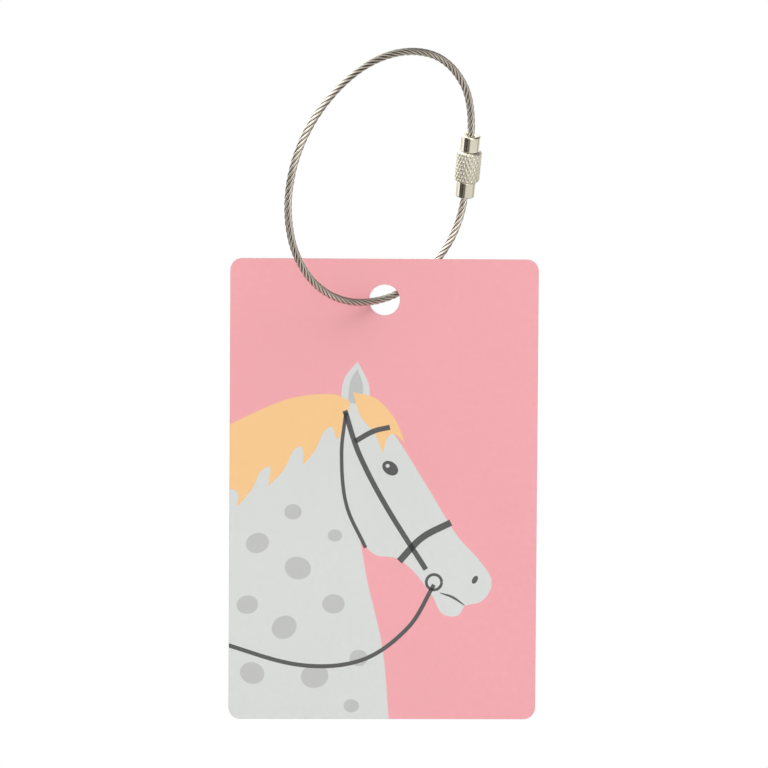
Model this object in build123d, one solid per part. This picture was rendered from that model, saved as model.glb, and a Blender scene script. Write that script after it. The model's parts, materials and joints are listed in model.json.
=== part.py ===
from build123d import *
import os
from math import cos, pi, radians, sin, tan

# Luggage tag: a laminated card that hangs on a screw-closed loop of wire rope.
# All sizes are in millimetres. +Z is up, the printed front faces -Y, and the origin is the
# point at the top of the loop, on its inner side, where a bag's handle or hook carries the tag.

# ---- card ----
CARD_WIDTH = 60.0
CARD_HEIGHT = 90.0
CARD_CORNER_RADIUS = 2.3
HOLE_RADIUS = 3.0
HOLE_BELOW_TOP = 8.0
CORE_THICKNESS = 0.70
PRINT_THICKNESS = 0.10
FILM_THICKNESS = 0.05

# ---- wire rope ----
WIRE_DIAMETER = 1.5
ARC_SHARE = 0.45            # each arc takes this share of the shorter of its two runs

# ---- clasp, measured along its own axis ----
CLASP_LENGTH = 12.7         # between the outer ends of the two ferrules
BARREL_SPACE = 6.3          # between the shoulders of the two ferrules
FACE_GAP = 0.05             # between a ferrule's shoulder and the barrel's end
FERRULE_RADIUS = 1.95
BARREL_RADIUS = 2.45
EDGE_CHAMFER = 0.3
SOCKET_RADIUS = 0.80
SOCKET_DEPTH = 2.6
MOUTH_FLARE = 0.25          # countersink where the wire enters its socket
NECK_RADIUS = 1.20
FLANGE_RADIUS = 1.65
FLANGE_THICKNESS = 0.7
LIP_RADIUS = 1.25
LIP_LENGTH = 1.2
LIP_PLAY = 0.1              # between the barrel's lip and the flange that holds it
CHAMBER_RADIUS = 1.80
CHAMBER_TOP = 0.0

# ---- M3 thread, pitch 0.5 ----
PITCH = 0.5
STUD_END = 0.6              # height of the stud's free end above the clasp's middle
STUD_CORE_RADIUS = 1.19
STUD_CREST_RADIUS = 1.50
STUD_CREST_HALF = 0.035     # half the width of the ridge at its crest
STUD_TURNS = 4
FIRST_RIDGE = 0.95          # height at which the stud's ridge starts
RIDGE_ROOT = 0.04           # how far a ridge's root is sunk into its core
RIDGE_LEAD = 3              # whole turns by which the barrel's groove starts before the ridge
THREAD_BORE_RADIUS = 1.27
GROOVE_RADIUS = 1.56
GROOVE_FLOOR_HALF = 0.046
BARREL_TURNS = 8            # the groove runs out of the barrel's top and into its chamber
FLANK = tan(radians(30))    # widening of a 60 degree thread per unit of depth

# ---- where the pieces stand ----
HOLE_CENTRE = Vector(0.0, 19.4, -46.4)
CLASP_FROM_HOLE = Vector(16.17, 1.35, 26.24)
LOOP_TURN = 37.3            # the loop's plane is turned about the vertical,
LOOP_LEAN = 18.5            # leaned forward,
LOOP_DROOP = 8.7            # and turned in itself, so the side across from the clasp sits lower

# The wire's route in the loop's own plane: across the loop from the clasp, and along the clasp.
# It starts in the upper ferrule's socket and ends in the lower one's.
ROUTE = [
    (0.0, 3.8),
    (0.0, 12.8),
    (7.1, 22.4),
    (16.3, 26.1),
    (26.7, 25.2),
    (35.6, 19.6),
    (41.8, 10.8),
    (43.8, 0.4),
    (41.6, -10.5),
    (35.4, -19.5),
    (26.3, -24.8),
    (16.2, -25.4),
    (7.1, -21.4),
    (0.0, -12.0),
    (0.0, -3.8),
]


def tilted(direction):
    """A direction of the upright loop, leaned and turned to where the loop stands."""
    return Vector(direction).rotate(Axis.X, LOOP_LEAN).rotate(Axis.Z, LOOP_TURN)


CLASP_CENTRE = HOLE_CENTRE + CLASP_FROM_HOLE
ACROSS = tilted((-cos(radians(LOOP_DROOP)), 0, -sin(radians(LOOP_DROOP))))
NORMAL = tilted((0, 1, 0))
ALONG = NORMAL.cross(ACROSS)
CLASP = Plane(origin=CLASP_CENTRE, x_dir=ACROSS, z_dir=ALONG).location


# ---- card layers ----
def card_layer(thickness, front):
    """A sheet of the card's outline with the punched hole; front is its -Y face, from the card's middle."""
    middle_z = HOLE_CENTRE.Z + HOLE_BELOW_TOP - CARD_HEIGHT / 2
    face = Plane(
        origin=(HOLE_CENTRE.X, HOLE_CENTRE.Y + front, middle_z),
        x_dir=(1, 0, 0),
        z_dir=(0, -1, 0),
    )
    outline = RectangleRounded(CARD_WIDTH, CARD_HEIGHT, CARD_CORNER_RADIUS)
    hole = Pos(0, CARD_HEIGHT / 2 - HOLE_BELOW_TOP) * Circle(HOLE_RADIUS)
    return extrude(face * (outline - hole), -thickness)


def card():
    """The five layers of the laminate, from the front face to the back."""
    layers = [
        ("front_film", FILM_THICKNESS),
        ("front_print_sheet", PRINT_THICKNESS),
        ("core_sheet", CORE_THICKNESS),
        ("back_print_sheet", PRINT_THICKNESS),
        ("back_film", FILM_THICKNESS),
    ]
    front = -sum(thickness for name, thickness in layers) / 2
    parts = {}
    for name, thickness in layers:
        parts[name] = card_layer(thickness, front)
        front += thickness
    return parts


# ---- wire rope ----
def loop_point(across, along):
    return CLASP_CENTRE + ACROSS * across + ALONG * along


def arc_radii(points):
    """The radius at each corner of the route, as large as its two runs allow."""
    radii = []
    for before, corner, after in zip(points, points[1:], points[2:]):
        turn = (corner - before).get_angle(after - corner)
        shorter = min((corner - before).length, (after - corner).length)
        radii.append(ARC_SHARE * shorter / tan(radians(turn / 2)))
    return radii


def wire_path():
    points = [loop_point(across, along) for across, along in ROUTE]
    radii = arc_radii(points)
    print("wire radii", [round(radius, 1) for radius in radii])
    return FilletPolyline(*points, radius=radii)


def wire_rope():
    path = wire_path()
    section = Plane(origin=path @ 0, z_dir=path % 0) * Circle(WIRE_DIAMETER / 2)
    rope = sweep(section, path=path)
    expected = path.length * pi * WIRE_DIAMETER**2 / 4
    print(f"wire length {path.length:.2f}, volume {rope.volume:.1f}, section x length {expected:.1f}")
    return rope


# ---- clasp ----
def turned(outline):
    """A turned piece from half its section: (radius, height) points about the clasp's axis."""
    return revolve(make_face(Plane.XZ * Polyline(*outline, close=True)), Axis.Z)


def thread_ridge(crest_radius, crest_half, root_radius, turns, start):
    """A helical ridge of 60 degree section, for a male thread or to cut a female one."""
    root_half = crest_half + (crest_radius - root_radius) * FLANK
    outline = [
        (root_radius, -root_half),
        (crest_radius, -crest_half),
        (crest_radius, crest_half),
        (root_radius, root_half),
    ]
    section = make_face(Plane.XZ * Polyline(*outline, close=True))
    helix = Helix(PITCH, PITCH * turns, crest_radius)
    return Pos(0, 0, start) * sweep(section, path=helix, is_frenet=True)


def stud_ferrule():
    """The upper ferrule: a crimped socket for the wire, and a threaded stud that points down."""
    shoulder = BARREL_SPACE / 2
    top = CLASP_LENGTH / 2
    body = turned(
        [
            (0, STUD_END),
            (STUD_CORE_RADIUS - EDGE_CHAMFER, STUD_END),
            (STUD_CORE_RADIUS, STUD_END + EDGE_CHAMFER),
            (STUD_CORE_RADIUS, shoulder),
            (FERRULE_RADIUS, shoulder),
            (FERRULE_RADIUS, top - EDGE_CHAMFER),
            (FERRULE_RADIUS - EDGE_CHAMFER, top),
            (SOCKET_RADIUS + MOUTH_FLARE, top),
            (SOCKET_RADIUS, top - MOUTH_FLARE),
            (SOCKET_RADIUS, top - SOCKET_DEPTH),
            (0, top - SOCKET_DEPTH),
        ]
    )
    ridge = thread_ridge(
        STUD_CREST_RADIUS, STUD_CREST_HALF, STUD_CORE_RADIUS - RIDGE_ROOT, STUD_TURNS, FIRST_RIDGE
    )
    return CLASP * (body + ridge)


def flange_ferrule():
    """The lower ferrule: a crimped socket for the wire, and a flanged neck that holds the barrel."""
    shoulder = -BARREL_SPACE / 2
    bottom = -CLASP_LENGTH / 2
    flange_low = shoulder + FACE_GAP + LIP_LENGTH + LIP_PLAY
    body = turned(
        [
            (0, bottom + SOCKET_DEPTH),
            (SOCKET_RADIUS, bottom + SOCKET_DEPTH),
            (SOCKET_RADIUS, bottom + MOUTH_FLARE),
            (SOCKET_RADIUS + MOUTH_FLARE, bottom),
            (FERRULE_RADIUS - EDGE_CHAMFER, bottom),
            (FERRULE_RADIUS, bottom + EDGE_CHAMFER),
            (FERRULE_RADIUS, shoulder),
            (NECK_RADIUS, shoulder),
            (NECK_RADIUS, flange_low),
            (FLANGE_RADIUS, flange_low),
            (FLANGE_RADIUS, flange_low + FLANGE_THICKNESS),
            (0, flange_low + FLANGE_THICKNESS),
        ]
    )
    return CLASP * body


def barrel_tap():
    """What the threaded bore takes out of the barrel: a core with the ridge's clearance round it."""
    length = BARREL_TURNS * PITCH
    start = FIRST_RIDGE - RIDGE_LEAD * PITCH
    core = Pos(0, 0, start + length / 2) * Cylinder(THREAD_BORE_RADIUS, length + PITCH)
    groove = thread_ridge(
        GROOVE_RADIUS, GROOVE_FLOOR_HALF, THREAD_BORE_RADIUS - RIDGE_ROOT, BARREL_TURNS, start
    )
    return core + groove


def knurled_barrel():
    """The barrel: a lip round the lower ferrule's neck, a chamber for its flange, and a thread above."""
    top = BARREL_SPACE / 2 - FACE_GAP
    lip_top = -top + LIP_LENGTH
    body = turned(
        [
            (LIP_RADIUS, -top),
            (BARREL_RADIUS - EDGE_CHAMFER, -top),
            (BARREL_RADIUS, -top + EDGE_CHAMFER),
            (BARREL_RADIUS, top - EDGE_CHAMFER),
            (BARREL_RADIUS - EDGE_CHAMFER, top),
            (0, top),
            (0, CHAMBER_TOP),
            (CHAMBER_RADIUS, CHAMBER_TOP),
            (CHAMBER_RADIUS, lip_top),
            (LIP_RADIUS, lip_top),
        ]
    )
    return CLASP * (body - barrel_tap())


# ---- write one STEP per sub-part ----
os.makedirs("parts", exist_ok=True)
PARTS = {
    **card(),
    "wire_rope": wire_rope(),
    "stud_ferrule": stud_ferrule(),
    "flange_ferrule": flange_ferrule(),
    "knurled_barrel": knurled_barrel(),
}
for node, solid in PARTS.items():
    export_step(solid, f"parts/{node}.step")
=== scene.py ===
import json
import math

import bmesh
import bpy
from mathutils import Matrix, Vector
from mathutils.geometry import tessellate_polygon
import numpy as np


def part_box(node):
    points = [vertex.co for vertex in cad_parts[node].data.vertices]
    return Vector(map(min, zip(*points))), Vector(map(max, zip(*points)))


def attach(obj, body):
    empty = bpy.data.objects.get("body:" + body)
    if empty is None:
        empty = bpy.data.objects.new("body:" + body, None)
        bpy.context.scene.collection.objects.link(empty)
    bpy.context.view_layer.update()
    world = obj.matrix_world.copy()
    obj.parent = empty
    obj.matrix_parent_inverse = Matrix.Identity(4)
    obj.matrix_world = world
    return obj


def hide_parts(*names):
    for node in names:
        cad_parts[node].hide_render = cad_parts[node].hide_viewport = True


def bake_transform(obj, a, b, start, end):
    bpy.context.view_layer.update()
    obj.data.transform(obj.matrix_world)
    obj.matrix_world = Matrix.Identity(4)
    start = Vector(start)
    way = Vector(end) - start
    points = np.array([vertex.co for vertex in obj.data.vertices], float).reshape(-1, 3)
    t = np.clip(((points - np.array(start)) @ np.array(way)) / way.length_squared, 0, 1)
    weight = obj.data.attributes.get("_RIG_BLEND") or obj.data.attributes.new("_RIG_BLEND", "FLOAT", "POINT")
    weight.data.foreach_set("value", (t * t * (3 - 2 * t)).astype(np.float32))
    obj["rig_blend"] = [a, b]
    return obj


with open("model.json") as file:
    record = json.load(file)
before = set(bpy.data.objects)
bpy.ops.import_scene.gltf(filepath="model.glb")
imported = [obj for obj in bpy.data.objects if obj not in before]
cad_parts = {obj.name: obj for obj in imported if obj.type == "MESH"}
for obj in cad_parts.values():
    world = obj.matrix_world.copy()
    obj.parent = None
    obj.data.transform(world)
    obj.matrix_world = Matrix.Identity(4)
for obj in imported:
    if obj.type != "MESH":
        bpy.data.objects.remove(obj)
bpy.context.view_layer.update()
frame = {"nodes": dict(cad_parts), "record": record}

# ---------------------------------------------------------------- driving values, in metres
MM = 0.001
HOLE_BELOW_TOP = 8.0 * MM
CARD_CORNER_RADIUS = 2.3 * MM
WIRE_DIAMETER = 1.5 * MM

# the loop's plane, as the CAD part sets it: turned, leaned, then drooped in itself, in degrees
LOOP_TURN = 37.3
LOOP_LEAN = 18.5
LOOP_DROOP = 8.7

# the wire's route in the loop's plane: across the loop from the clasp, and along the clasp
ROUTE = [
    (0.0, 0.0038),
    (0.0, 0.0128),
    (0.0071, 0.0224),
    (0.0163, 0.0261),
    (0.0267, 0.0252),
    (0.0356, 0.0196),
    (0.0418, 0.0108),
    (0.0438, 0.0004),
    (0.0416, -0.0105),
    (0.0354, -0.0195),
    (0.0263, -0.0248),
    (0.0162, -0.0254),
    (0.0071, -0.0214),
    (0.0, -0.0120),
    (0.0, -0.0038),
]

CORE_LOW, CORE_HIGH = (Vector(corner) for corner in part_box("core_sheet"))
FRONT_LOW = Vector(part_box("front_print_sheet")[0])
BACK_HIGH = Vector(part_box("back_print_sheet")[1])
CARD_MIDDLE = (CORE_LOW + CORE_HIGH) / 2
HOLE_CENTRE = Vector((CARD_MIDDLE.x, CARD_MIDDLE.y, CORE_HIGH.z - HOLE_BELOW_TOP))
JOINTS = {joint["name"]: joint for joint in frame["record"]["behaviour"]["joints"]}
CLASP_CENTRE = Vector(JOINTS["barrel_turn"]["pos_m"])


def tilted(x, y, z):
    """A direction of the upright loop, leaned and turned to where the loop stands."""
    lean = Matrix.Rotation(math.radians(LOOP_LEAN), 3, "X")
    turn = Matrix.Rotation(math.radians(LOOP_TURN), 3, "Z")
    return turn @ lean @ Vector((x, y, z))


droop = math.radians(LOOP_DROOP)
ACROSS = tilted(-math.cos(droop), 0, -math.sin(droop))
NORMAL = tilted(0, 1, 0)
ALONG = NORMAL.cross(ACROSS)
CLASP_TURN = Matrix((ACROSS, -NORMAL, ALONG)).transposed().to_4x4()
CLASP_FRAME = Matrix.Translation(CLASP_CENTRE) @ CLASP_TURN     # its Z is the clasp's axis


# ---------------------------------------------------------------- camera
CAMERA_DISTANCE = 0.8
CAMERA_AZIMUTH = math.radians(-2.1)
CAMERA_ELEVATION = math.radians(3.2)
CAMERA_ROLL = math.radians(0.375)
CAMERA_TARGET_BELOW_HOLE = 16.4 * MM
CAMERA_LENS = 192.5         # this and the sensor's width are in millimetres, as Blender takes them
CAMERA_SENSOR = 36.0
CAMERA_CLIP = (0.01, 20.0)


def make_camera():
    """A long lens a little above the tag and to its left, aimed at a point below the hole."""
    back = Vector(
        (
            math.sin(CAMERA_AZIMUTH) * math.cos(CAMERA_ELEVATION),
            -math.cos(CAMERA_AZIMUTH) * math.cos(CAMERA_ELEVATION),
            math.sin(CAMERA_ELEVATION),
        )
    )
    level = Vector((0, 0, 1)).cross(back).normalized()
    rise = back.cross(level)
    right = level * math.cos(CAMERA_ROLL) + rise * math.sin(CAMERA_ROLL)
    up = back.cross(right)
    target = HOLE_CENTRE - Vector((0, 0, CAMERA_TARGET_BELOW_HOLE))
    data = bpy.data.cameras.new("camera")
    data.sensor_width = CAMERA_SENSOR
    data.lens = CAMERA_LENS
    data.clip_start, data.clip_end = CAMERA_CLIP
    camera = bpy.data.objects.new("camera", data)
    bpy.context.collection.objects.link(camera)
    turn = Matrix((right, up, back)).transposed().to_4x4()
    camera.matrix_world = Matrix.Translation(target + back * CAMERA_DISTANCE) @ turn
    bpy.context.scene.camera = camera


make_camera()


# ---------------------------------------------------------------- node helpers
def srgb(red, green, blue):
    """A colour given in 0..255 sRGB, as the linear colour that a shader takes."""
    def linear(value):
        value /= 255
        return value / 12.92 if value <= 0.04045 else ((value + 0.055) / 1.055) ** 2.4
    return (linear(red), linear(green), linear(blue), 1.0)


class Nodes:
    """Short forms for building one material; its patterns lie in the object's own coordinates."""

    def __init__(self, name, **plain):
        self.material = bpy.data.materials.new(name)
        self.material.use_nodes = True
        self.tree = self.material.node_tree
        self.shader = self.tree.nodes["Principled BSDF"]
        for socket, value in plain.items():
            self.shader.inputs[socket.replace("_", " ")].default_value = value
        self.place = self.add("ShaderNodeTexCoord").outputs["Object"]

    def add(self, kind, inputs=None, **settings):
        node = self.tree.nodes.new(kind)
        for name, value in settings.items():
            setattr(node, name, value)
        for name, value in (inputs or {}).items():
            socket = node.inputs[name]
            if isinstance(value, bpy.types.NodeSocket):
                self.tree.links.new(value, socket)
            else:
                socket.default_value = value
        return node

    def noise(self, scale, detail=3.0, roughness=0.5, vector=None):
        inputs = {
            "Vector": vector or self.place,
            "Scale": scale,
            "Detail": detail,
            "Roughness": roughness,
        }
        return self.add("ShaderNodeTexNoise", inputs).outputs["Fac"]

    def stretched(self, x, y, z):
        inputs = {"Vector": self.place, "Scale": (x, y, z)}
        return self.add("ShaderNodeMapping", inputs).outputs["Vector"]

    def ramp(self, value, low, high, out_low, out_high):
        inputs = {
            "Value": value,
            "From Min": low,
            "From Max": high,
            "To Min": out_low,
            "To Max": out_high,
        }
        return self.add("ShaderNodeMapRange", inputs).outputs["Result"]

    def mix(self, share, first, second):
        node = self.add("ShaderNodeMix", data_type="RGBA")
        for index, value in ((0, share), (6, first), (7, second)):
            if isinstance(value, bpy.types.NodeSocket):
                self.tree.links.new(value, node.inputs[index])
            else:
                node.inputs[index].default_value = value
        return node.outputs[2]

    def drive(self, socket, value):
        self.tree.links.new(value, self.shader.inputs[socket])

    def bump(self, height, strength, distance):
        inputs = {"Height": height, "Strength": strength, "Distance": distance}
        self.drive("Normal", self.add("ShaderNodeBump", inputs).outputs["Normal"])


def printed(name, colour, darker=0.93):
    """Ink on a satin laminated sheet: a faint mottle in the ink and a fine orange peel."""
    made = Nodes(name, Specular_IOR_Level=0.4)
    mottle = made.noise(900.0, 4.0, 0.6)
    cloud = made.noise(28.0, 2.0, 0.5)
    deep = tuple(channel * darker for channel in colour[:3]) + (1.0,)
    share = made.ramp(mottle, 0.35, 0.65, 0.0, 0.5)
    base = made.mix(share, colour, deep)
    made.drive("Base Color", made.mix(made.ramp(cloud, 0.3, 0.7, 0.0, 0.35), base, deep))
    made.drive("Roughness", made.ramp(cloud, 0.3, 0.7, 0.38, 0.46))
    made.bump(made.noise(2600.0, 2.0, 0.5), 0.12, 0.00002)
    return made.material


def core_plastic():
    """White plastic, with the faint scoring of a punched and cut edge."""
    made = Nodes("core_plastic", Specular_IOR_Level=0.4)
    scoring = made.noise(500.0, 3.0, 0.6, made.stretched(1.0, 14.0, 1.0))
    share = made.ramp(scoring, 0.35, 0.7, 0.0, 1.0)
    made.drive("Base Color", made.mix(share, srgb(244, 243, 240), srgb(228, 225, 221)))
    made.drive("Roughness", made.ramp(scoring, 0.3, 0.7, 0.42, 0.62))
    made.bump(scoring, 0.25, 0.00003)
    return made.material


def clear_film():
    """A clear film that is nearly all see-through; the sheet below it carries the gloss."""
    made = Nodes("clear_film", Roughness=0.3, Alpha=0.06)
    haze = made.noise(60.0, 3.0, 0.5)
    made.drive("Base Color", made.mix(haze, srgb(250, 250, 250), srgb(238, 238, 240)))
    made.bump(made.noise(400.0, 2.0, 0.5), 0.05, 0.00002)
    return made.material


GROOVE = "groove"           # how far into the gap between two strands a point of the rope lies, 0 to 1; it sets how much painted shade the wire gets there


def steel_wire():
    """Bright stainless steel wire, with painted shade, dull and brown, in the gaps between the strands."""
    made = Nodes("steel_wire", Metallic=1.0)
    tarnish = made.noise(160.0, 4.0, 0.6)
    drawn = made.noise(2400.0, 2.0, 0.6)
    groove = made.add("ShaderNodeAttribute", attribute_name=GROOVE).outputs["Fac"]
    bright, dull = srgb(222, 219, 210), srgb(200, 193, 181)
    # the dark brown is painted shade, mixed in deeper towards the gaps between the strands
    die_marks, painted_gap_shade = srgb(150, 140, 126), srgb(84, 68, 52)
    clean = made.mix(made.ramp(tarnish, 0.3, 0.7, 0.0, 1.0), bright, dull)
    worn = made.mix(made.ramp(drawn, 0.45, 0.75, 0.0, 0.3), clean, die_marks)
    made.drive("Base Color", made.mix(made.ramp(groove, 0.0, 1.0, 0.0, 0.68), worn, painted_gap_shade))
    made.drive("Roughness", made.ramp(tarnish, 0.3, 0.7, 0.2, 0.32))
    made.bump(drawn, 0.1, 0.00001)
    return made.material


def nickel_plate(name, smooth, rough):
    """Nickel plate with faint handling marks, between its smoothest and its roughest."""
    made = Nodes(name, Metallic=1.0)
    marks = made.noise(700.0, 5.0, 0.65)
    cloud = made.noise(120.0, 2.0, 0.5)
    bright, dull = srgb(233, 230, 214), srgb(220, 215, 197)
    made.drive("Base Color", made.mix(made.ramp(cloud, 0.3, 0.7, 0.0, 1.0), bright, dull))
    made.drive("Roughness", made.ramp(marks, 0.35, 0.75, smooth, rough))
    made.bump(made.noise(1500.0, 2.0, 0.5), 0.04, 0.00001)
    return made.material


MATERIALS = {
    "pink": printed("pink_print", srgb(249, 170, 176)),
    "coat": printed("grey_print", srgb(223, 225, 222)),
    "dapple": printed("dapple_print", srgb(196, 197, 195)),
    "mane": printed("yellow_print", srgb(255, 206, 139)),
    "line": printed("dark_print", srgb(54, 53, 54)),
    "panel": printed("panel_print", srgb(247, 246, 243)),
    "core": core_plastic(),
    "film": clear_film(),
    "wire": steel_wire(),
    "nickel": nickel_plate("polished_nickel", 0.05, 0.12),
    "knurl": nickel_plate("knurled_nickel", 0.44, 0.56),
}
CARD_FINISH = {
    "core_sheet": "core",
    "front_print_sheet": "pink",
    "back_print_sheet": "pink",
    "front_film": "film",
    "back_film": "film",
}

for node, material in CARD_FINISH.items():
    for slot in frame["nodes"][node].material_slots:
        slot.material = MATERIALS[material]


def add_piece(name, mesh, material, body=None):
    """Puts a mesh in the scene with its material, and on a body where given."""
    mesh.materials.append(MATERIALS[material])
    piece = bpy.data.objects.new(name, mesh)
    bpy.context.collection.objects.link(piece)
    if body:
        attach(piece, body)
    return piece


def smooth(mesh):
    mesh.polygons.foreach_set("use_smooth", [True] * len(mesh.polygons))


# ---------------------------------------------------------------- wire rope
STRANDS = 6
STRAND_RADIUS = WIRE_DIAMETER / 6   # a strand, the core and a strand make up the diameter
STRAND_LAY = 8.6 * MM       # length in which a strand goes once round the rope
STRAND_SIDES = 20
OUTER_WIRES = 6             # wires on the outside of a strand
WIRE_LAY = 3.4 * MM         # length in which a wire goes once round its strand
WIRE_RELIEF = 0.05          # how much the wires stand out, as a share of the strand's radius
CORE_SIDES = 8
ROPE_RINGS = 440
ROUTE_FINENESS = 24         # steps of the spline between two of its points
GROOVE_STARTS = math.radians(45)    # angles round a strand, from its outermost line
GROOVE_ENDS = math.radians(100)


def loop_point(across, along):
    return CLASP_CENTRE + ACROSS * across + ALONG * along


def route_curve():
    """The wire's line: one smooth spline with the route's points as its control points."""
    curve = bpy.data.curves.new("wire_route", "CURVE")
    curve.dimensions = "3D"
    curve.resolution_u = ROUTE_FINENESS
    spline = curve.splines.new("NURBS")
    spline.points.add(len(ROUTE) - 1)
    for point, (across, along) in zip(spline.points, ROUTE):
        point.co = (*loop_point(across, along), 1.0)
    spline.order_u = 3
    spline.use_endpoint_u = True
    return curve


def curve_points(curve):
    """The points along a curve with no bevel, in order."""
    holder = bpy.data.objects.new("route_holder", curve)
    bpy.context.collection.objects.link(holder)
    bpy.context.view_layer.update()
    mesh = bpy.data.meshes.new_from_object(holder)
    points = [vertex.co.copy() for vertex in mesh.vertices]
    bpy.data.meshes.remove(mesh)
    bpy.data.objects.remove(holder)
    return points


def evenly(points, count):
    """The same line with count points, evenly spaced, and its length."""
    reach = [0.0]
    for first, second in zip(points, points[1:]):
        reach.append(reach[-1] + (second - first).length)
    made, at = [], 0
    for index in range(count):
        wanted = reach[-1] * index / (count - 1)
        while at < len(points) - 2 and reach[at + 1] < wanted:
            at += 1
        share = (wanted - reach[at]) / (reach[at + 1] - reach[at])
        made.append(points[at].lerp(points[at + 1], share))
    return made, reach[-1]


def directions(points):
    """The direction of a line at each of its points."""
    made = []
    for index in range(len(points)):
        before, after = points[max(index - 1, 0)], points[min(index + 1, len(points) - 1)]
        made.append((after - before).normalized())
    return made


def squared(side, tangent):
    """A side direction turned square to a tangent."""
    return (side - tangent * side.dot(tangent)).normalized()


def carried_sides(tangents):
    """A side direction for each tangent of a line, which never twists about the line."""
    made = []
    side = NORMAL
    for tangent in tangents:
        side = squared(side, tangent)
        made.append(side)
    return made


def tube_into(mesh, centres, tangents, sides, radius_at, segments):
    """Adds a closed tube; radius_at takes a ring's number and an angle from the side direction."""
    groove = mesh.verts.layers.float[GROOVE]
    rings = []
    for index, (centre, tangent, side) in enumerate(zip(centres, tangents, sides)):
        other = tangent.cross(side)
        ring = []
        for step in range(segments):
            angle = 2 * math.pi * step / segments
            out = side * math.cos(angle) + other * math.sin(angle)
            corner = mesh.verts.new(centre + out * radius_at(index, angle))
            # the groove value sets the wire's painted shade: none on a strand's outer side, full deep in the
            # gap
            turned_in = min(angle, 2 * math.pi - angle) - GROOVE_STARTS
            corner[groove] = min(1.0, max(0.0, turned_in / (GROOVE_ENDS - GROOVE_STARTS)))
            ring.append(corner)
        rings.append(ring)
    for ring, following in zip(rings, rings[1:]):
        for step in range(segments):
            after = (step + 1) % segments
            mesh.faces.new((ring[step], ring[after], following[after], following[step]))
    mesh.faces.new(list(reversed(rings[0])))
    mesh.faces.new(rings[-1])


def make_rope():
    """Six strands laid round a core, each strand with the ridges of its own wires."""
    centres, length = evenly(curve_points(route_curve()), ROPE_RINGS)
    runs = [length * index / (ROPE_RINGS - 1) for index in range(ROPE_RINGS)]
    tangents = directions(centres)
    sides = carried_sides(tangents)
    mesh = bmesh.new()
    mesh.verts.layers.float.new(GROOVE)
    tube_into(mesh, centres, tangents, sides, lambda index, angle: STRAND_RADIUS, CORE_SIDES)

    def wire_ridges(index, angle):
        turn = angle + 2 * math.pi * runs[index] / WIRE_LAY
        return STRAND_RADIUS * (1 - WIRE_RELIEF + WIRE_RELIEF * math.cos(OUTER_WIRES * turn))

    for strand in range(STRANDS):
        places, outward = [], []
        for centre, run, tangent, side in zip(centres, runs, tangents, sides):
            turn = 2 * math.pi * (strand / STRANDS + run / STRAND_LAY)
            out = side * math.cos(turn) + tangent.cross(side) * math.sin(turn)
            places.append(centre + out * (WIRE_DIAMETER / 2 - STRAND_RADIUS))
            outward.append(out)
        own = directions(places)
        own_sides = [squared(out, tangent) for out, tangent in zip(outward, own)]
        tube_into(mesh, places, own, own_sides, wire_ridges, STRAND_SIDES)
    data = bpy.data.meshes.new("wire_rope_strands")
    mesh.to_mesh(data)
    mesh.free()
    smooth(data)
    return add_piece("wire_rope_strands", data, "wire"), centres, length


rope, rope_line, rope_length = make_rope()


# ---------------------------------------------------------------- turned metal pieces
SUPPORT = 0.02 * MM         # how close to a corner its supporting ring is
SUPPORT_RUN = 10 * SUPPORT  # a shorter run has none
TURNED_SIDES = 96
ROUNDED_STEPS = 5
ROUNDED_SHARE = 0.49        # the most that a rounding takes of the runs on its two sides


def supported(profile):
    """The same section, with a ring close to each end of a plain run, so that it shades as straight."""
    made = []
    for here, after in zip(profile, profile[1:] + profile[:1]):
        made.append(here)
        run = Vector(after[:2]) - Vector(here[:2])
        if here[2] == after[2] == 0.0 and run.length > SUPPORT_RUN:
            step = run.normalized() * SUPPORT
            made.append((here[0] + step.x, here[1] + step.y, 0.0))
            made.append((after[0] - step.x, after[1] - step.y, 0.0))
    return made


def turned(name, profile, segments=TURNED_SIDES, shift=None):
    """A turned piece from (radius, height, share) points; share is how much of shift applies."""
    mesh = bmesh.new()
    rings = []
    for radius, height, share in supported(profile):
        ring = []
        for step in range(segments):
            angle = 2 * math.pi * step / segments
            grown = radius + (share * shift(angle, height) if share else 0.0)
            place = Vector((grown * math.cos(angle), grown * math.sin(angle), height))
            ring.append(mesh.verts.new(CLASP_FRAME @ place))
        rings.append(ring)
    closing = rings[1:] + rings[:1]
    for ring, following in zip(rings, closing):
        for step in range(segments):
            after = (step + 1) % segments
            mesh.faces.new((ring[step], ring[after], following[after], following[step]))
    bmesh.ops.recalc_face_normals(mesh, faces=mesh.faces)
    data = bpy.data.meshes.new(name)
    mesh.to_mesh(data)
    mesh.free()
    return data


def rounded(corners, size):
    """The outline through (radius, height, soft) corners, each rounded by soft times a size."""
    made = []
    count = len(corners)
    for index, (x, y, soft) in enumerate(corners):
        here = Vector((x, y))
        if not soft:
            made.append(here)
            continue
        before = Vector(corners[index - 1][:2]) - here
        after = Vector(corners[(index + 1) % count][:2]) - here
        reach = min(size * soft, before.length * ROUNDED_SHARE, after.length * ROUNDED_SHARE)
        first, last = here + before.normalized() * reach, here + after.normalized() * reach
        for step in range(ROUNDED_STEPS + 1):
            t = step / ROUNDED_STEPS
            made.append(first * (1 - t) ** 2 + here * 2 * t * (1 - t) + last * t * t)
    return made


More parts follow.
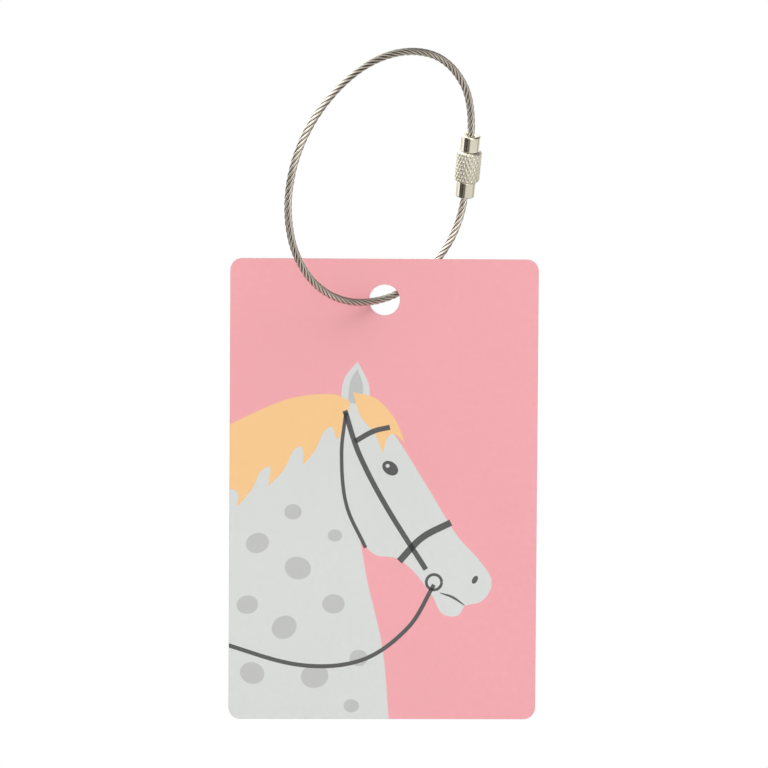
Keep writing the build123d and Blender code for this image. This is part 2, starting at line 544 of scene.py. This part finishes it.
ON_AXIS = 0.0005 * MM       # a turned piece ends this near to its axis
FERRULE_RADIUS = 1.95 * MM
FERRULE_LENGTH = 3.2 * MM
FERRULE_ROUNDING = 0.32 * MM
SOCKET_RADIUS = 0.80 * MM
SOCKET_DEPTH = 2.6 * MM
MOUTH_FLARE = 0.25 * MM     # countersink where the wire enters its socket
BARREL_SPACE = 6.3 * MM
CLASP_HALF = BARREL_SPACE / 2 + FERRULE_LENGTH
NECK_RADIUS = 1.20 * MM
FLANGE_RADIUS = 1.65 * MM
FLANGE_THICKNESS = 0.7 * MM
FLANGE_RISE = 1.35 * MM     # from the lower ferrule's shoulder to the flange's underside
STUD_END = 0.6 * MM
STUD_POINT = 0.2 * MM       # length of the stud's tapered end
STUD_RELIEF = 0.25 * MM     # plain length above the thread, and the run-out at its two ends
STUD_CORE_RADIUS = 1.19 * MM
STUD_STEPS = 90
THREAD_PITCH = 0.5 * MM
THREAD_DEPTH = 0.31 * MM
THREAD_PEAK = 1.2 * THREAD_DEPTH    # where the two flanks would meet
THREAD_FLANK = math.tan(math.radians(30))   # half the ridge's width for its depth
THREAD_START = 0.95 * MM
FACE_GAP = 0.05 * MM        # between a ferrule's shoulder and the barrel's end
BARREL_RADIUS = 2.45 * MM
BARREL_HALF = BARREL_SPACE / 2 - FACE_GAP
BARREL_ROUNDING = 0.45 * MM
BARREL_STEPS = 112
LIP_RADIUS = 1.25 * MM
LIP_LENGTH = 1.2 * MM
CHAMBER_RADIUS = 1.80 * MM
THREAD_BORE_RADIUS = 1.56 * MM
THREAD_MOUTH_RADIUS = 1.75 * MM
KNURL_COLUMNS = 20
KNURL_COLUMN_SIDES = 14
KNURL_ROW = 1.55 * MM
KNURL_DEPTH = 0.14 * MM
KNURL_FULLNESS = 0.8        # below 1 the pits are wider and the ridges between them narrower
NICKEL_CREASE = 32          # in degrees; a turned piece shades sharp where it bends more than this
KNURL_CREASE = 50


def ferrule_profile(outward, inner):
    """A ferrule round its wire's socket; outward is 1 for the upper one and -1 for the lower one."""
    mouth = CLASP_HALF * outward
    shoulder = BARREL_SPACE / 2 * outward
    socket = mouth - SOCKET_DEPTH * outward
    corners = [
        (ON_AXIS, socket, 0.0),
        (SOCKET_RADIUS, socket, 0.0),
        (SOCKET_RADIUS, mouth - MOUTH_FLARE * outward, 0.0),
        (SOCKET_RADIUS + MOUTH_FLARE, mouth, 0.3),
        (FERRULE_RADIUS, mouth, 1.0),
        (FERRULE_RADIUS, shoulder, 0.4),
        (inner[0][0], shoulder, 0.0),
    ]
    outline = rounded(corners, FERRULE_ROUNDING)
    return [(point.x, point.y, 0.0) for point in outline] + inner


def stud_profile():
    """The stud from the upper ferrule's shoulder to its end, in fine steps that carry its thread."""
    top, end = BARREL_SPACE / 2 - STUD_RELIEF, STUD_END + STUD_POINT
    made = []
    for step in range(STUD_STEPS + 1):
        height = top + (end - top) * step / STUD_STEPS
        share = min(1.0, (top - height) / STUD_RELIEF, (height - end) / STUD_RELIEF)
        made.append((STUD_CORE_RADIUS, height, share))
    made.append((STUD_CORE_RADIUS - STUD_POINT, STUD_END, 0.0))
    made.append((ON_AXIS, STUD_END, 0.0))
    return made


def thread_shift(angle, height):
    """How far the thread's ridge stands out: a 60 degree section that climbs one pitch a turn."""
    turn = ((height - THREAD_START) / THREAD_PITCH - angle / (2 * math.pi)) % 1.0
    away = min(turn, 1.0 - turn) * THREAD_PITCH
    return max(0.0, min(THREAD_DEPTH, THREAD_PEAK - away / THREAD_FLANK))


def knurl_shift(angle, height):
    """How deep the knurl's pits go between two crossing sets of ridges."""
    column = angle * KNURL_COLUMNS / (2 * math.pi)
    row = height / KNURL_ROW
    depth = 1.0
    for lean in (row, -row):
        depth *= 0.5 - 0.5 * math.cos(2 * math.pi * (column + lean))
    return -KNURL_DEPTH * depth**KNURL_FULLNESS


def finish_metal(data, material, body, node, crease):
    """Shades a turned piece, sets it on its body and lets it stand for its CAD node."""
    smooth(data)
    data.set_sharp_from_angle(angle=math.radians(crease))
    piece = add_piece(data.name, data, material, body)
    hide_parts(node)


def make_ferrules():
    """The two ferrules: the upper one with its threaded stud, the lower one with its flanged neck."""
    data = turned("ferrule_with_stud", ferrule_profile(1, stud_profile()), shift=thread_shift)
    finish_metal(data, "nickel", "stud", "stud_ferrule", NICKEL_CREASE)

    neck_top = -BARREL_SPACE / 2 + FLANGE_RISE
    inner = [
        (NECK_RADIUS, neck_top, 0.0),
        (FLANGE_RADIUS, neck_top, 0.0),
        (FLANGE_RADIUS, neck_top + FLANGE_THICKNESS, 0.0),
        (ON_AXIS, neck_top + FLANGE_THICKNESS, 0.0),
    ]
    data = turned("ferrule_with_flange", ferrule_profile(-1, inner))
    finish_metal(data, "nickel", "loop", "flange_ferrule", NICKEL_CREASE)


def barrel_radius(height):
    """The barrel's outside: straight, with its two ends rounded over."""
    into = min(1.0, (BARREL_HALF - abs(height)) / BARREL_ROUNDING)
    return BARREL_RADIUS - BARREL_ROUNDING * (1 - math.sqrt(1 - (1 - into) ** 2))


def make_barrel():
    """The barrel: knurled outside with rounded ends, and a stepped bore inside."""
    made = [(LIP_RADIUS, -BARREL_HALF, 0.0)]
    for step in range(BARREL_STEPS + 1):
        height = BARREL_HALF * (2 * step / BARREL_STEPS - 1)
        share = min(1.0, (BARREL_HALF - abs(height)) / BARREL_ROUNDING)
        made.append((barrel_radius(height), height, share))
    made.append((THREAD_MOUTH_RADIUS, BARREL_HALF, 0.0))
    made.append((THREAD_BORE_RADIUS, BARREL_HALF - THREAD_MOUTH_RADIUS + THREAD_BORE_RADIUS, 0.0))
    made.append((THREAD_BORE_RADIUS, 0.0, 0.0))
    made.append((CHAMBER_RADIUS, 0.0, 0.0))
    made.append((CHAMBER_RADIUS, -BARREL_HALF + LIP_LENGTH, 0.0))
    made.append((LIP_RADIUS, -BARREL_HALF + LIP_LENGTH, 0.0))
    data = turned("barrel_with_knurl", made, KNURL_COLUMNS * KNURL_COLUMN_SIDES, knurl_shift)
    finish_metal(data, "knurl", "barrel", "knurled_barrel", KNURL_CREASE)


make_ferrules()
make_barrel()

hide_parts("wire_rope")
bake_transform(rope, "loop", "stud", start=tuple(loop_point(*ROUTE[-1])), end=tuple(loop_point(*ROUTE[0])))


# ---------------------------------------------------------------- the print
# the drawing's own units are millimetres from the card's lower left corner: across, then up
INK = 0.006 * MM            # the step from one layer of ink to the next
INK_FILL = 0.7              # how much of its step a layer fills
GROUND_LAYER = 0.2          # the ground's place among the layers: just off the sheet, below layer 1
HOLE_ACROSS = (HOLE_CENTRE.x - CORE_LOW.x) / MM
HOLE_UP = (HOLE_CENTRE.z - CORE_LOW.z) / MM
HOLE_WIDTH = 6.0
PRINT_INSET = 0.02          # the print stops this far from the card's cut edges
POINT = 0.35                # spacing of the points along a printed curve
FEWEST_POINTS = 16          # round a printed ellipse
SAME_POINT = 0.004          # nearer than this, two points are one
CARD_CORNER_STEPS = 12
PANEL_CORNER_STEPS = 8
RING_STEPS = 40
RING_OPENING = 0.2          # of a step, so that a ring's two ends don't meet
CORNER = True               # a third value that makes a point a sharp corner


def card_place(across, up, depth):
    """A place on the card's front; depth is how far out of the printed sheet it is, in metres."""
    return Vector((CORE_LOW.x + across * MM, FRONT_LOW.y - depth, CORE_LOW.z + up * MM))


def back_place(across, up, depth):
    """The same on the card's back, as seen from behind."""
    return Vector((CORE_HIGH.x - across * MM, BACK_HIGH.y + depth, CORE_LOW.z + up * MM))


def through(points, closed=False):
    """A smooth line through a few points, sharp at those marked CORNER."""
    knots = [Vector(point[:2]) for point in points]
    sharp = [len(point) > 2 for point in points]
    count = len(knots)
    spans = count if closed else count - 1
    made = []
    for index in range(spans):
        start, end = knots[index], knots[(index + 1) % count]
        before = knots[index - 1] if (index or closed) else start
        after = knots[(index + 2) % count] if (closed or index + 2 < count) else end
        reach = (end - start).length
        leave = (end - before) if not sharp[index] else (end - start)
        arrive = (after - start) if not sharp[(index + 1) % count] else (end - start)
        first = start + leave.normalized() * reach / 3
        second = end - arrive.normalized() * reach / 3
        steps = max(2, int(reach / POINT))
        for step in range(steps):
            t = step / steps
            made.append(
                start * (1 - t) ** 3
                + first * 3 * t * (1 - t) ** 2
                + second * 3 * t * t * (1 - t)
                + end * t**3
            )
    if not closed:
        made.append(knots[-1])
    return made


def rounded_box(left, low, right, high, radius, steps, inset=0.0):
    """A box with rounded corners, anticlockwise, drawn in by inset on all sides."""
    made = []
    corners = [
        (right - radius, low + radius, -90),
        (right - radius, high - radius, 0),
        (left + radius, high - radius, 90),
        (left + radius, low + radius, 180),
    ]
    reach = radius - inset
    for x, y, start in corners:
        for step in range(steps + 1):
            angle = math.radians(start + 90 * step / steps)
            made.append(Vector((x + reach * math.cos(angle), y + reach * math.sin(angle))))
    return made


def card_outline():
    """The printed area's outline, just inside the card's own."""
    width = (CORE_HIGH.x - CORE_LOW.x) / MM
    height = (CORE_HIGH.z - CORE_LOW.z) / MM
    radius = CARD_CORNER_RADIUS / MM
    return rounded_box(0, 0, width, height, radius, CARD_CORNER_STEPS, PRINT_INSET)


def clipped(points, outline):
    """The part of a shape that lies inside a convex anticlockwise outline."""
    made = points
    for index, corner in enumerate(outline):
        along = outline[(index + 1) % len(outline)] - corner
        kept = []
        for first, second in zip(made, made[1:] + made[:1]):
            inside = along.cross(first - corner)
            following = along.cross(second - corner)
            if inside >= 0:
                kept.append(first)
            if (inside >= 0) != (following >= 0):
                kept.append(first.lerp(second, inside / (inside - following)))
        made = kept
    tidy = []
    for point in made:
        if not tidy or (point - tidy[-1]).length > SAME_POINT:
            tidy.append(point)
    return tidy


def ribbon(points, width, ends=1.0):
    """The outline of a stripe along a line; ends below 1 narrow it towards both ends."""
    left, right = [], []
    for index, (point, along) in enumerate(zip(points, directions(points))):
        share = index / (len(points) - 1)
        half = width / 2 * (ends + (1 - ends) * math.sin(math.pi * share))
        across = Vector((-along.y, along.x)) * half
        left.append(point + across)
        right.append(point - across)
    return right + left[::-1]


def ellipse(x, y, wide, high, turn=0.0):
    """An ellipse about (x, y), turned by so many degrees."""
    made = []
    steps = max(FEWEST_POINTS, int(math.pi * max(wide, high) / POINT))
    for step in range(steps):
        angle = 2 * math.pi * step / steps
        point = Vector((wide / 2 * math.cos(angle), high / 2 * math.sin(angle)))
        point.rotate(Matrix.Rotation(math.radians(turn), 2))
        made.append(Vector((x, y)) + point)
    return made


def ring(x, y, radius, width):
    """A printed ring, as a stripe bent almost into a circle."""
    made = []
    for step in range(RING_STEPS + 1):
        angle = 2 * math.pi * step / (RING_STEPS + RING_OPENING)
        made.append(Vector((x + radius * math.cos(angle), y + radius * math.sin(angle))))
    return ribbon(made, width)


def printed_piece(name, shapes, layer, material, place=card_place):
    """Flat printed shapes on the card, on one layer of ink, as one piece.

    A shape is an outline, or a tuple of an outline and the holes in it.
    """
    outline = card_outline()
    mesh = bmesh.new()
    for shape in shapes:
        edges = shape if isinstance(shape, tuple) else (clipped(shape, outline),)
        points = [point for edge in edges for point in edge]
        low = [mesh.verts.new(place(*point, INK * layer)) for point in points]
        high = [mesh.verts.new(place(*point, INK * (layer + INK_FILL))) for point in points]
        flat = [[Vector((*point, 0)) for point in edge] for edge in edges]
        for a, b, c in tessellate_polygon(flat):
            mesh.faces.new((high[a], high[b], high[c]))
            mesh.faces.new((low[c], low[b], low[a]))
        start = 0
        for edge in edges:
            for index in range(len(edge)):
                here, after = start + index, start + (index + 1) % len(edge)
                mesh.faces.new((low[here], low[after], high[after], high[here]))
            start += len(edge)
    bmesh.ops.recalc_face_normals(mesh, faces=mesh.faces)
    data = bpy.data.meshes.new(name)
    mesh.to_mesh(data)
    mesh.free()
    add_piece(name, data, material, "card")


HORSE = [
    (-2, -2, CORNER),
    (-2, 47, CORNER),
    (7, 54.5),
    (17, 60.0),
    (21.5, 61.3, CORNER),
    (22.2, 66.5),
    (24.8, 70.0, CORNER),
    (27.0, 65.5),
    (27.2, 60.6, CORNER),
    (31.5, 56.5),
    (38.0, 46.5),
    (44.5, 36.0),
    (49.0, 31.0),
    (51.3, 27.0),
    (49.6, 23.4),
    (46.0, 22.3, CORNER),
    (44.6, 20.3),
    (41.6, 20.8),
    (39.8, 24.0),
    (36.0, 29.0),
    (32.5, 31.6),
    (28.6, 32.2),
    (25.6, 34.8, CORNER),
    (27.0, 27.0),
    (30.0, 14.0),
    (31.5, -2, CORNER),
]
NEAR_EAR = [
    (23.0, 62.0, CORNER),
    (23.4, 66.0),
    (24.8, 68.6, CORNER),
    (25.9, 65.2),
    (25.6, 61.6, CORNER),
]
MANE = [
    (-2, 45.0, CORNER),
    (-2, 56.5, CORNER),
    (4.0, 59.6),
    (12.0, 62.8),
    (20.0, 63.6),
    (23.4, 62.2, CORNER),
    (22.6, 58.0),
    (21.0, 54.6, CORNER),
    (19.4, 57.2),
    (16.6, 52.6),
    (14.4, 49.8, CORNER),
    (13.6, 53.4),
    (10.4, 48.6),
    (7.6, 45.6, CORNER),
    (7.4, 49.4),
    (4.2, 44.8),
    (1.6, 41.6, CORNER),
    (1.4, 44.6),
]
FORELOCK = [
    (24.0, 64.0, CORNER),
    (28.4, 62.8),
    (32.0, 59.0),
    (34.2, 54.2, CORNER),
    (31.4, 55.8),
    (29.8, 52.2, CORNER),
    (28.2, 56.0),
    (25.4, 59.4),
]
DAPPLES = [                 # centre, width, height, and turn in degrees
    (5.5, 34.5, 4.6, 3.9, 20),
    (12.4, 40.6, 3.4, 3.0, 0),
    (13.4, 29.6, 5.2, 4.4, -15),
    (3.6, 22.4, 4.2, 3.6, 10),
    (20.6, 36.0, 2.8, 2.4, 0),
    (10.8, 18.0, 5.0, 4.4, 30),
    (20.4, 22.6, 4.4, 3.8, 0),
    (4.6, 9.0, 4.8, 4.2, -20),
    (16.8, 8.4, 5.4, 4.6, 10),
    (25.4, 12.0, 3.6, 3.2, 0),
    (24.0, 2.6, 3.0, 2.6, 0),
]
CHEEK_STRAP = [(22.4, 60.4), (25.2, 52.0), (30.4, 42.0), (38.4, 29.4)]
BROW_BAND = [(24.4, 54.4), (28.0, 56.4), (31.2, 57.2)]
THROAT_STRAP = [(22.6, 60.0), (21.8, 52.0), (22.8, 42.0), (26.6, 33.6)]
NOSE_BAND = [(33.2, 31.0), (37.6, 35.6), (43.2, 38.6)]
REIN = [(40.0, 26.4), (35.0, 18.0), (26.0, 11.6), (14.0, 10.6), (-2, 15.0)]
STRAPS = [                  # a strap's middle line and its width
    (CHEEK_STRAP, 1.0),
    (THROAT_STRAP, 0.7),
    (BROW_BAND, 1.0),
    (NOSE_BAND, 1.3),
    (REIN, 0.8),
]
MOUTH = [(46.0, 22.4), (43.6, 24.0), (41.2, 24.8)]
MOUTH_WIDTH = 0.45
MOUTH_ENDS = 0.3            # how wide its ends are, as a share of its width
BIT_RING = (40.0, 26.9, 1.5, 0.55)      # centre, radius and stripe's width
EYE = (31.3, 49.2, 3.4, 2.5, -38)
EYE_LIGHT = (30.8, 49.65, 0.8, 0.7)
NOSTRIL = (48.0, 27.4, 1.7, 1.0, 60)


def ground():
    """The whole face of the card inside its cut edges."""
    width = HOLE_WIDTH + 2 * PRINT_INSET
    hole = ellipse(HOLE_ACROSS, HOLE_UP, width, width)
    return (card_outline(), hole[::-1])


def print_front():
    """A grey horse's head and neck with a bridle, in flat colours on the pink ground."""
    printed_piece("print_ground", [ground()], GROUND_LAYER, "pink")
    printed_piece("print_horse", [through(HORSE, True)], 1, "coat")
    spots = [ellipse(*spot) for spot in DAPPLES]
    printed_piece("print_dapples", spots + [through(NEAR_EAR, True)], 2, "dapple")
    printed_piece("print_mane", [through(MANE, True), through(FORELOCK, True)], 3, "mane")
    lines = [ribbon(through(points), width) for points, width in STRAPS]
    lines.append(ribbon(through(MOUTH), MOUTH_WIDTH, MOUTH_ENDS))
    lines += [ellipse(*EYE), ellipse(*NOSTRIL), ring(*BIT_RING)]
    printed_piece("print_bridle", lines, 4, "line")
    printed_piece("print_eye_light", [ellipse(*EYE_LIGHT)], 5, "coat")


PANEL = (7.0, 10.0, 53.0, 66.0)         # left, low, right, high
PANEL_CORNER = 2.5
RULES = 6
RULE_MARGIN = 4.0           # from the panel's sides
RULE_START = 7.0            # from the panel's lower edge to the first rule
RULE_STEP = 8.0
RULE_WIDTH = 0.3


def print_back():
    """A pale write-on panel with ruled lines, and nothing written on it."""
    panel = rounded_box(*PANEL, PANEL_CORNER, PANEL_CORNER_STEPS)
    first, last = PANEL[0] + RULE_MARGIN, PANEL[2] - RULE_MARGIN
    rules = []
    for row in range(RULES):
        up = PANEL[1] + RULE_START + row * RULE_STEP
        corners = ((first, up), (last, up), (last, up + RULE_WIDTH), (first, up + RULE_WIDTH))
        rules.append([Vector(corner) for corner in corners])
    printed_piece("print_back_ground", [ground()], GROUND_LAYER, "pink", back_place)
    printed_piece("print_back_panel", [panel], 1, "panel", back_place)
    printed_piece("print_back_rules", rules, 2, "dapple", back_place)


print_front()
print_back()


# ---------------------------------------------------------------- light
# The studio's soft screens, as polished metal mirrors them. Angles are in degrees, and an azimuth
# is from the front, positive towards +X.
SCREENS = [                 # azimuth, elevation and strength of a screen's middle
    (0, -35, 0.4),
    (45, -35, 0.55),
    (90, -35, 0.65),
    (135, -35, 0.3),
    (180, 5, 1.2),
    (-135, 5, 0.45),
    (-90, 5, 2.2),
    (-45, 5, 2.3),
    (0, 5, 2.2),
    (135, 5, 0.9),
    (180, 45, 0.3),
    (-135, 45, 2.1),
    (-90, 45, 2.3),
    (-45, 45, 0.5),
    (0, 45, 0.3),
]
SCREEN_SHARPNESS = 6.0
DARK_SECTORS = [            # azimuth from and to, and how much is taken away
    (-143, -88, 0.22),
    (-88, -40, 0.93),
    (-40, -12, 0.72),
    (95, 115, 0.3),
]
SECTOR_EDGE = 3.5           # how far a dark sector fades, each side of its edge
SECTOR_TOP = (0.3, 0.6)     # sines of the elevations between which it ends
DIM_TINT = (1.0, 0.94, 0.87, 1.0)
BRIGHT_TINT = (1.0, 0.995, 0.985, 1.0)
TINT_LEVELS = (0.1, 1.2)    # the light's level where each tint is full
EVEN_LIGHT = 0.73           # what matt surfaces get from all round
WHITE = (1.0, 1.0, 1.0, 1.0)

KEY_LIGHT_FROM_HOLE = Vector((0.1, -0.6, 1.1))
KEY_LIGHT_SIZE = 1.6
KEY_LIGHT_POWER = 10.5

FLOOR_RADIUS = 0.3
FLOOR_DROP = 0.45           # below the card
FLOOR_SIDES = 96
FLOOR_PALE = (0.9, 0.9, 0.9, 1.0)
FLOOR_GREY = (0.86, 0.86, 0.86, 1.0)


def make_world():
    """White to the camera, even to matt surfaces, and the studio's screens to glossy ones."""
    world = bpy.data.worlds.new("studio")
    bpy.context.scene.world = world
    world.use_nodes = True
    tree = world.node_tree
    links = tree.links
    nodes = tree.nodes
    nodes.clear()

    def math_node(operation, first, second=None):
        node = nodes.new("ShaderNodeMath")
        node.operation = operation
        for socket, value in zip(node.inputs, (first, second)):
            if value is None:
                continue
            if isinstance(value, bpy.types.NodeSocket):
                links.new(value, socket)
            else:
                socket.default_value = value
        return node.outputs[0]

    def ranged(value, low, high, out_low, out_high):
        node = nodes.new("ShaderNodeMapRange")
        node.interpolation_type = "SMOOTHSTEP"
        links.new(value, node.inputs["Value"])
        names = ("From Min", "From Max", "To Min", "To Max")
        for name, number in zip(names, (low, high, out_low, out_high)):
            node.inputs[name].default_value = number
        return node.outputs["Result"]

    coordinates = nodes.new("ShaderNodeTexCoord")
    parts = nodes.new("ShaderNodeSeparateXYZ")
    links.new(coordinates.outputs["Generated"], parts.inputs[0])
    x, y, z = parts.outputs
    azimuth = math_node("DEGREES", math_node("ARCTAN2", x, math_node("MULTIPLY", y, -1.0)))
    level = None
    for turn, rise, strength in SCREENS:
        turn, rise = math.radians(turn), math.radians(rise)
        facing = nodes.new("ShaderNodeVectorMath")
        facing.operation = "DOT_PRODUCT"
        links.new(coordinates.outputs["Generated"], facing.inputs[0])
        facing.inputs[1].default_value = (
            math.sin(turn) * math.cos(rise),
            -math.cos(turn) * math.cos(rise),
            math.sin(rise),
        )
        near = math_node("MAXIMUM", facing.outputs["Value"], 0.0)
        glow = math_node("MULTIPLY", math_node("POWER", near, SCREEN_SHARPNESS), strength)
        level = glow if level is None else math_node("ADD", level, glow)
    low = ranged(z, *SECTOR_TOP, 1.0, 0.0)
    for start, stop, depth in DARK_SECTORS:
        opens = ranged(azimuth, start - SECTOR_EDGE, start + SECTOR_EDGE, 0.0, 1.0)
        shuts = ranged(azimuth, stop - SECTOR_EDGE, stop + SECTOR_EDGE, 1.0, 0.0)
        dark = math_node("MULTIPLY", math_node("MULTIPLY", opens, shuts), low)
        kept = math_node("SUBTRACT", 1.0, math_node("MULTIPLY", dark, depth))
        level = math_node("MULTIPLY", level, kept)
    studio = nodes.new("ShaderNodeBackground")
    links.new(level, studio.inputs["Strength"])
    tint = nodes.new("ShaderNodeMix")
    tint.data_type = "RGBA"
    links.new(ranged(level, *TINT_LEVELS, 0.0, 1.0), tint.inputs[0])
    tint.inputs[6].default_value = DIM_TINT
    tint.inputs[7].default_value = BRIGHT_TINT
    links.new(tint.outputs[2], studio.inputs["Color"])
    even = nodes.new("ShaderNodeBackground")
    even.inputs["Color"].default_value = WHITE
    even.inputs["Strength"].default_value = EVEN_LIGHT
    white = nodes.new("ShaderNodeBackground")
    white.inputs["Color"].default_value = WHITE
    white.inputs["Strength"].default_value = 1.0
    ray = nodes.new("ShaderNodeLightPath")
    shader = even.outputs[0]
    for kind, other in (("Is Glossy Ray", studio), ("Is Camera Ray", white)):
        choice = nodes.new("ShaderNodeMixShader")
        links.new(ray.outputs[kind], choice.inputs[0])
        links.new(shader, choice.inputs[1])
        links.new(other.outputs[0], choice.inputs[2])
        shader = choice.outputs[0]
    links.new(shader, nodes.new("ShaderNodeOutputWorld").inputs[0])


def make_key_light():
    """One large soft light, above and in front; the screens take its place in the metal."""
    data = bpy.data.lights.new("key_light", "AREA")
    data.shape = "DISK"
    data.size = KEY_LIGHT_SIZE
    data.energy = KEY_LIGHT_POWER
    light = bpy.data.objects.new("key_light", data)
    light.visible_glossy = False
    bpy.context.collection.objects.link(light)
    turn = (-KEY_LIGHT_FROM_HOLE).to_track_quat("-Z", "Y").to_matrix().to_4x4()
    light.matrix_world = Matrix.Translation(HOLE_CENTRE + KEY_LIGHT_FROM_HOLE) @ turn


def make_floor():
    """A plain pale disc, far below the hanging tag."""
    bpy.ops.mesh.primitive_circle_add(
        vertices=FLOOR_SIDES,
        radius=FLOOR_RADIUS,
        fill_type="NGON",
        location=(0, CARD_MIDDLE.y, CORE_LOW.z - FLOOR_DROP),
    )
    floor = bpy.context.object
    floor.name = "studio_floor"
    made = Nodes("floor_paint", Roughness=0.8)
    grain = made.noise(6.0, 2.0, 0.5)
    made.drive("Base Color", made.mix(grain, FLOOR_PALE, FLOOR_GREY))
    floor.data.materials.append(made.material)


make_world()
make_key_light()
make_floor()
bpy.context.scene.view_settings.view_transform = "Standard"
